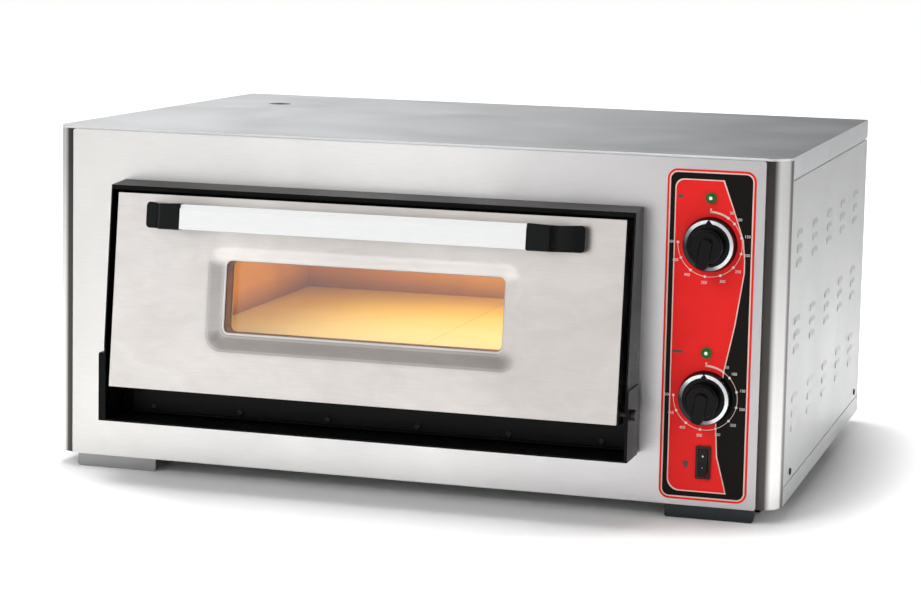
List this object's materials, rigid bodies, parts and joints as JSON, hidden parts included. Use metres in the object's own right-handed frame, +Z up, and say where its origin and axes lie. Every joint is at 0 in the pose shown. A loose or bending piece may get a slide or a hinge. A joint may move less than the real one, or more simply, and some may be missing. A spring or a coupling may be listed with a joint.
{
  "type": "countertop pizza oven",
  "caption": "Low wide steel countertop pizza oven with a drop-down glazed door, bar handle, baking stones, and rotary heat controls beside a rocker switch.",
  "frame": {"origin": "on the floor under the middle of the whole oven's bounding box", "axes": "+Z up, the door faces -Y, +X is to the right of someone facing the door"},
  "size_m": [0.9032, 0.771, 0.419],
  "materials": {
    "steel_case": "satin brushed",
    "steel_front": "satin brushed",
    "steel_foot": "satin",
    "black_enamel": "semi-gloss enamel",
    "sill_steel": "satin",
    "dark_screw": "blackened",
    "pin_steel": "turned",
    "door_steel": "satin, cloudy",
    "rope_seal": "woven glass rope",
    "clear_glass": "clear, toughened",
    "red_seal": "matte silicone",
    "bar_alloy": "fine satin",
    "bracket_plastic": "fine moulded grain",
    "mineral_wool": "matted fibre",
    "chamber_steel": "aluminised, heat tinted",
    "baking_stone": "rough cordierite",
    "support_steel": "mill finish",
    "element_sheath": "oxidised sheath",
    "lamp_bulb": "frosted",
    "overlay_film": "printed film",
    "knob_plastic": "moulded, semi-gloss",
    "shaft_steel": "turned",
    "device_plastic": "moulded",
    "pilot_lens": "translucent green",
    "switch_plastic": "moulded",
    "rocker_plastic": "moulded",
    "gland_nylon": "moulded"
  },
  "bodies": {
    "root": {"baking_stones": "baking_stone", "base_tray": "steel_case", "bay_divider": "support_steel", "cable_gland": "gland_nylon", "chamber_liner": "chamber_steel", "control_overlay": "overlay_film", "door_surround": "black_enamel", "element_clips": "support_steel", "feet": "steel_foot", "front_panel": "steel_front", "hinge_pins": "pin_steel", "hinge_plates": "black_enamel", "insulation_bottom": "mineral_wool", "insulation_left": "mineral_wool", "insulation_rear": "mineral_wool", "insulation_right": "mineral_wool", "insulation_top": "mineral_wool", "lamp_bulb": "lamp_bulb", "lamp_glass": "clear_glass", "lamp_housing": "support_steel", "left_column": "steel_case", "left_side_panel": "steel_case", "lower_elements": "element_sheath", "lower_thermostat": "device_plastic", "mouth_frame": "chamber_steel", "pilot_lamps": "pilot_lens", "pilot_sockets": "device_plastic", "power_relay": "device_plastic", "probes": "support_steel", "rear_panel": "steel_case", "right_column": "steel_case", "right_side_panel": "steel_case", "side_screws": "dark_screw", "sill_plate": "sill_steel", "sill_screws": "dark_screw", "stone_supports": "support_steel", "switch_body": "switch_plastic", "terminal_block": "device_plastic", "top_cover": "steel_case", "upper_elements": "element_sheath", "upper_thermostat": "device_plastic", "vent_pipe": "support_steel"},
    "door": {"door_skin": "door_steel", "door_liner": "door_steel", "door_insulation": "mineral_wool", "hinge_blocks": "pin_steel", "outer_glass": "clear_glass", "inner_glass": "clear_glass", "window_seals": "red_seal", "door_seal": "rope_seal", "handle_bar": "bar_alloy", "left_handle_bracket": "bracket_plastic", "right_handle_bracket": "bracket_plastic", "handle_screws": "dark_screw"},
    "upper_dial": {"upper_knob": "knob_plastic", "upper_shaft": "shaft_steel"},
    "lower_dial": {"lower_knob": "knob_plastic", "lower_shaft": "shaft_steel"},
    "rocker": {"switch_rocker": "rocker_plastic"}
  },
  "joints": [
    {"name": "door_hinge", "type": "hinge", "parent": "root", "child": "door", "pos_m": [-0.035, -0.3284, 0.12523], "axis": [1, 0, 0], "range_deg": [0, 92]},
    {"name": "upper_knob_turn", "type": "hinge", "parent": "root", "child": "upper_dial", "pos_m": [0.3625, -0.28749, 0.319], "axis": [0, 1, 0], "range_deg": [0, 290]},
    {"name": "lower_knob_turn", "type": "hinge", "parent": "root", "child": "lower_dial", "pos_m": [0.3625, -0.28749, 0.143], "axis": [0, 1, 0], "range_deg": [0, 290]},
    {"name": "switch_rock", "type": "hinge", "parent": "root", "child": "rocker", "pos_m": [0.3625, -0.28819, 0.0685], "axis": [1, 0, 0], "range_deg": [0, 14]}
  ]
}
